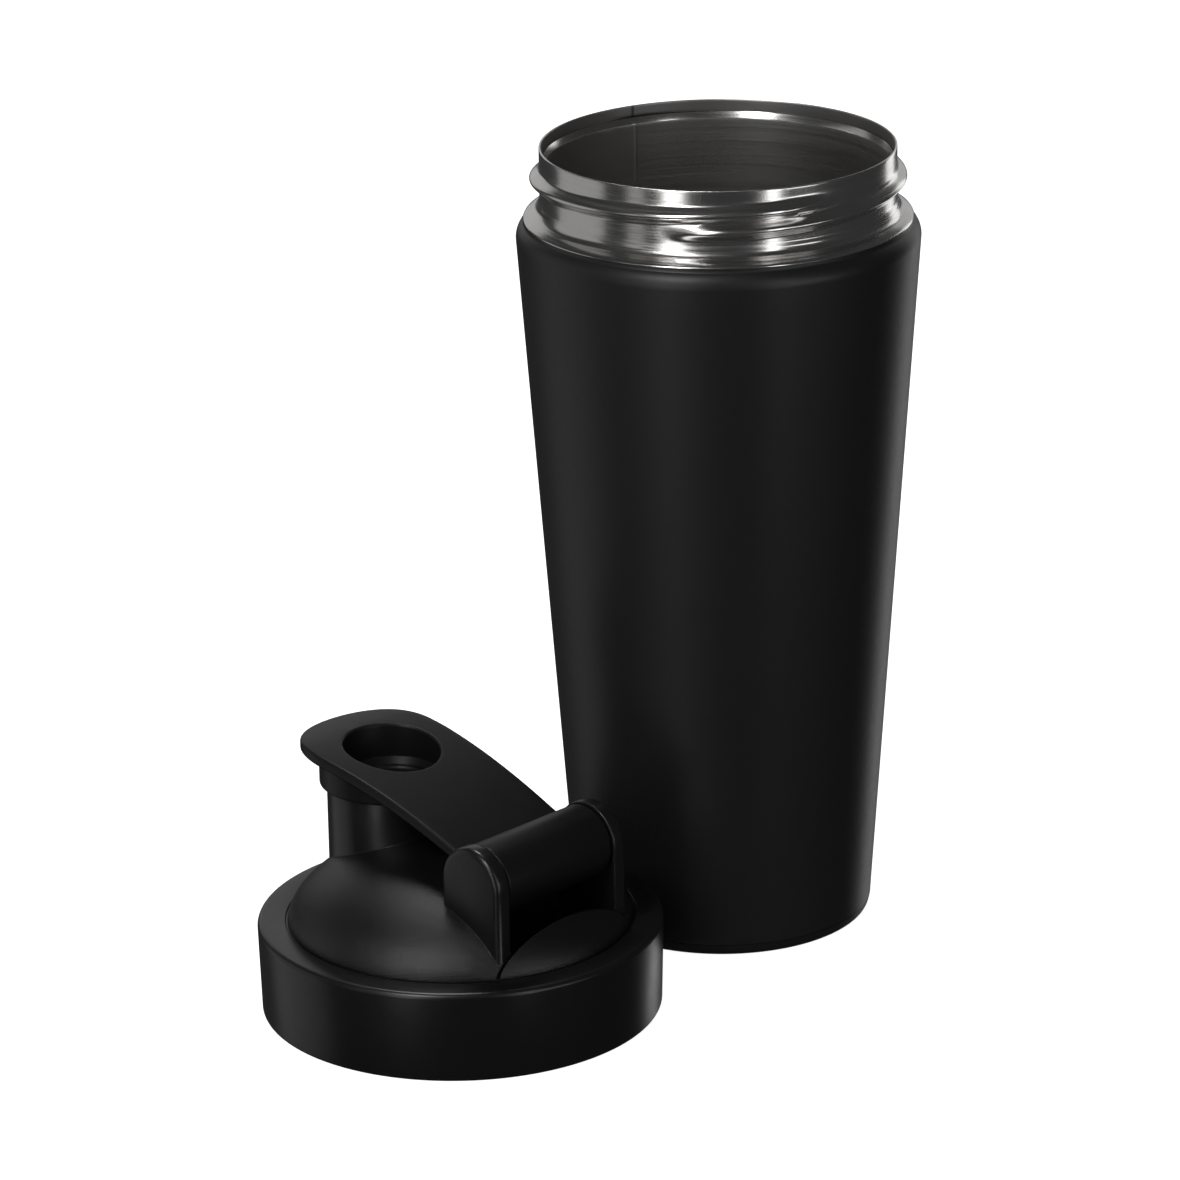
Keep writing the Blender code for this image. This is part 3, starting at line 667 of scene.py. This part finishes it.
def powder_coat():
    """Matte black powder coat with a fine orange-peel grain."""
    made = Finish("powder_coat", (0.012, 0.012, 0.0125), 0.42)
    made.link(made.ranged(made.noise(700, 3), 0.38, 0.46), "Roughness")
    made.link(made.mixed(made.noise(45, 4), (0.0105, 0.0105, 0.011), (0.0135, 0.0135, 0.014)), "Base Color")
    made.bump(made.noise(3300, 2), 0.16, 0.06 * MM)
    made.bump(made.noise(520, 2), 0.05, 0.3 * MM)
    return made.material


def rolled_steel():
    """Bright steel with fine lines round the neck from rolling."""
    made = Finish("rolled_steel", (0.66, 0.65, 0.64), 0.2, Metallic=1.0)
    lines = made.noise(1, 4, 0.65, made.stretched((22, 22, 5200)))
    made.link(made.ranged(lines, 0.13, 0.27, 0.3, 0.7), "Roughness")
    made.link(made.mixed(made.noise(110, 4), (0.6, 0.59, 0.58), (0.7, 0.69, 0.68)), "Base Color")
    made.bump(lines, 0.12, 0.04 * MM)
    made.bump(made.noise(140, 2), 0.02, 0.4 * MM)
    return made.material


def liner_steel():
    """Duller brushed steel, darker along the liner's seam."""
    made = Finish("liner_steel", LINER_GREY, 0.42, Metallic=1.0)
    lines = made.noise(1, 4, 0.65, made.stretched((16, 16, 3600)))
    made.link(made.ranged(lines, 0.34, 0.5, 0.3, 0.7), "Roughness")
    seam = (LINER_R * math.cos(SEAM_AT), LINER_R * math.sin(SEAM_AT), 0)
    flat = made.node("VectorMath", {0: made.place, 1: (1, 1, 0)}, operation="MULTIPLY").outputs["Vector"]
    away = made.node("VectorMath", {0: flat, 1: seam}, operation="DISTANCE").outputs["Value"]
    near = made.ranged(away, 1.0, 0.0, 0.3 * MM, 0.6 * MM)
    made.link(made.mixed(near, LINER_GREY, (0.16, 0.155, 0.15)), "Base Color")
    made.bump(lines, 0.12, 0.05 * MM)
    made.bump(made.noise(2400, 2), 0.3, 0.1 * MM)
    return made.material


def wire_steel():
    made = Finish("wire_steel", (0.68, 0.68, 0.67), 0.22, Metallic=1.0)
    made.link(made.ranged(made.noise(900, 3), 0.16, 0.3), "Roughness")
    made.bump(made.noise(1500, 2), 0.08, 0.1 * MM)
    return made.material


def moulded_plastic(name, roughness, specular):
    """Smooth black plastic with corners softened by the mould."""
    made = Finish(name, BLACK, roughness, Specular_IOR_Level=specular)
    made.softened(0.3 * MM)
    made.link(made.ranged(made.noise(260, 4), roughness - 0.04, roughness + 0.04), "Roughness")
    made.link(made.mixed(made.noise(60, 3), (0.0072, 0.0072, 0.0077), (0.0088, 0.0088, 0.0094)), "Base Color")
    made.bump(made.noise(4200, 2), 0.08, 0.05 * MM)
    return made.material


def textured_plastic():
    """The dome's black plastic, with the sandy grain of its mould."""
    made = Finish("textured_plastic", BLACK, 0.24)
    made.softened(0.3 * MM)
    grain = made.noise(2600, 3, 0.6)
    made.link(made.ranged(made.noise(500, 3), 0.2, 0.28), "Roughness")
    made.link(made.mixed(grain, (0.0045, 0.0045, 0.0048), (0.0085, 0.0085, 0.009)), "Base Color")
    made.bump(grain, 0.8, 0.18 * MM)
    return made.material


def silicone():
    made = Finish("silicone", (0.3, 0.3, 0.31), 0.55)
    made.link(made.mixed(made.noise(90, 4), (0.28, 0.28, 0.29), (0.32, 0.32, 0.33)), "Base Color")
    made.link(made.ranged(made.noise(700, 2), 0.48, 0.6), "Roughness")
    made.bump(made.noise(2200, 2), 0.1, 0.08 * MM)
    return made.material


# ---------------------------------------------------------------- stage


def area_light(name, azimuth, elevation, distance, width, height, power):
    """A soft box that faces LIT_AT, from this direction as seen from there, in degrees."""
    data = bpy.data.lights.new(name, "AREA")
    data.shape, data.size, data.size_y, data.energy = "RECTANGLE", width, height, power
    made = bpy.data.objects.new(name, data)
    bpy.context.scene.collection.objects.link(made)
    a, e = math.radians(azimuth), math.radians(elevation)
    away = Vector((math.cos(a) * math.cos(e), math.sin(a) * math.cos(e), math.sin(e)))
    made.location = Vector(LIT_AT) + away * distance
    made.rotation_euler = away.to_track_quat("Z", "Y").to_euler()
    made.visible_camera = False


def stage():
    floor = new_object("floor", [(-6, -6, 0), (6, -6, 0), (6, 6, 0), (-6, 6, 0)], [(0, 1, 2, 3)])
    paper = bpy.data.materials.new("white_paper")
    paper.use_nodes = True
    shader = paper.node_tree.nodes["Principled BSDF"]
    shader.inputs["Base Color"].default_value = (0.85, 0.85, 0.85, 1)
    shader.inputs["Roughness"].default_value = 0.9
    shader.inputs["Emission Color"].default_value = (1, 1, 1, 1)
    shader.inputs["Emission Strength"].default_value = 0.97
    floor.data.materials.append(paper)
    floor.visible_glossy = False
    floor.visible_diffuse = False
    floor.location.z = -0.2 * MM
    world = bpy.data.worlds.new("studio")
    bpy.context.scene.world = world
    world.use_nodes = True
    world.node_tree.nodes["Background"].inputs["Color"].default_value = (1, 1, 1, 1)
    world.node_tree.nodes["Background"].inputs["Strength"].default_value = 0.04


def lights():
    area_light("back_panel", 95, 16, 1.4, 1.7, 0.8, 2.0)
    area_light("left_box", 168, -4, 0.9, 0.75, 1.1, 0.9)
    area_light("left_fill", 215, 5, 1.2, 0.25, 0.9, 0.25)
    area_light("front_fill", 322, 2, 1.3, 0.5, 0.3, 1.0)
    area_light("right_strip", 52, -4, 1.0, 0.28, 1.1, 1.2)
    area_light("front_left", 240, 22, 1.3, 0.34, 2.2, 5.6)
    area_light("front_right", 304, 8, 1.3, 0.18, 1.2, 2.0)
    area_light("top_back", 108, 66, 1.1, 0.24, 0.24, 3.0)
    area_light("spot_left", 238, 44, 1.1, 0.2, 0.2, 2.4)


def camera():
    data = bpy.data.cameras.new("camera")
    data.lens, data.sensor_width = CAMERA_LENS, CAMERA_SENSOR
    made = bpy.data.objects.new("camera", data)
    bpy.context.scene.collection.objects.link(made)
    turn = Matrix.Rotation(CAMERA_TILT, 4, "X") @ Matrix.Rotation(CAMERA_ROLL, 4, "Z")
    made.matrix_world = Matrix.Translation(CAMERA_AT) @ turn
    bpy.context.scene.camera = made


def main():
    bpy.context.scene.view_settings.view_transform = "Standard"
    coat, steel, inner, wire = powder_coat(), rolled_steel(), liner_steel(), wire_steel()
    satin, matte = moulded_plastic("satin_plastic", 0.3, 0.5), moulded_plastic("matte_plastic", 0.4, 0.25)
    textured, rubber = textured_plastic(), silicone()
    outer_shell(coat, steel, inner)
    outer_base(coat)
    liner_tube(inner, steel)
    liner_base(inner)
    mixing_ball(wire)
    lid_body(satin, textured)
    lid_gasket(rubber)
    flip_cap(matte)
    stage()
    lights()
    camera()


main()
bpy.context.view_layer.update()
